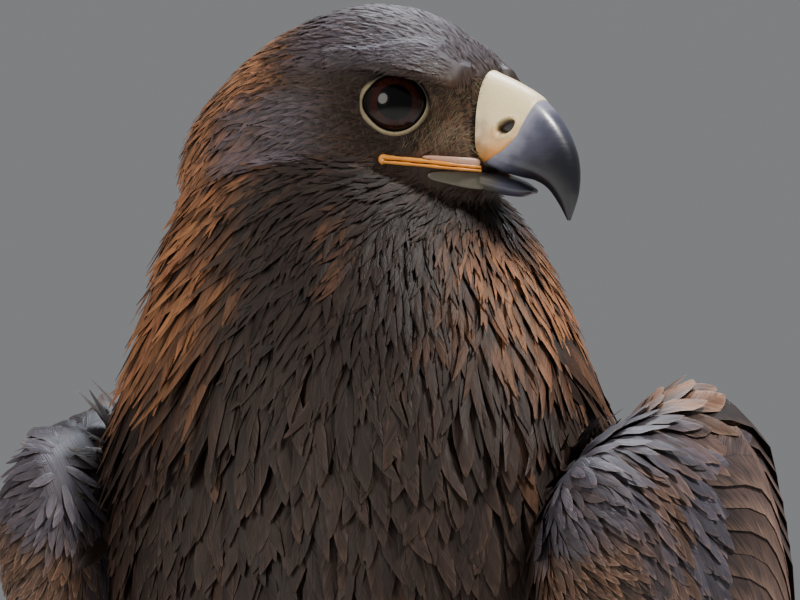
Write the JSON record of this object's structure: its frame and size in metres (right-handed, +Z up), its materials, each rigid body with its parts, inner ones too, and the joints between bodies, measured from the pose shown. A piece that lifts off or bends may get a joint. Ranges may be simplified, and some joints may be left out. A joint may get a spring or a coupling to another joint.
{
  "type": "standing golden eagle figure",
  "caption": "Life-size still golden eagle that stands on its own feet, wings folded and tail down, with its head turned far to its left over a ruff of raised nape hackles.",
  "frame": {"origin": "middle of the footprint box at floor level, under the standing bird", "axes": "+Z up along the standing height, -Y the way the breast faces, +X the bird's own left"},
  "size_m": [0.2754, 0.5674, 0.622],
  "materials": {
    "dark_feather": "matt dark slate-brown feathers of crown, face and cheeks",
    "breast_feather": "matt very dark brown feathers of breast, belly and back",
    "hackle_feather": "satin golden-brown pointed feathers of nape and neck",
    "wing_feather": "satin grey-brown feathers of wings and tail",
    "leg_feather": "matt tawny-brown feathers of the legs",
    "cere_skin": "smooth waxy yellow skin of cere and gape",
    "bill_horn": "polished blue-grey to black horn",
    "toe_skin": "scaly yellow skin of the toes",
    "claw_horn": "polished black horn",
    "eye_cornea": "glossy dark red-brown eye"
  },
  "bodies": {
    "root": {"torso": "breast_feather", "neck": "hackle_feather", "head": "dark_feather", "eye_left": "eye_cornea", "eye_right": "eye_cornea", "gape_left": "cere_skin", "gape_right": "cere_skin", "bill_upper": "bill_horn", "bill_lower": "bill_horn", "cere": "cere_skin", "tail": "wing_feather", "wing_left": "wing_feather", "wing_right": "wing_feather", "thigh_left": "leg_feather", "tarsus_left": "leg_feather", "foot_left": "toe_skin", "toe_left_1": "toe_skin", "claw_left_1": "claw_horn", "toe_left_2": "toe_skin", "claw_left_2": "claw_horn", "toe_left_3": "toe_skin", "claw_left_3": "claw_horn", "toe_left_4": "toe_skin", "claw_left_4": "claw_horn", "thigh_right": "leg_feather", "tarsus_right": "leg_feather", "foot_right": "toe_skin", "toe_right_1": "toe_skin", "claw_right_1": "claw_horn", "toe_right_2": "toe_skin", "claw_right_2": "claw_horn", "toe_right_3": "toe_skin", "claw_right_3": "claw_horn", "toe_right_4": "toe_skin", "claw_right_4": "claw_horn"}
  },
  "joints": []
}
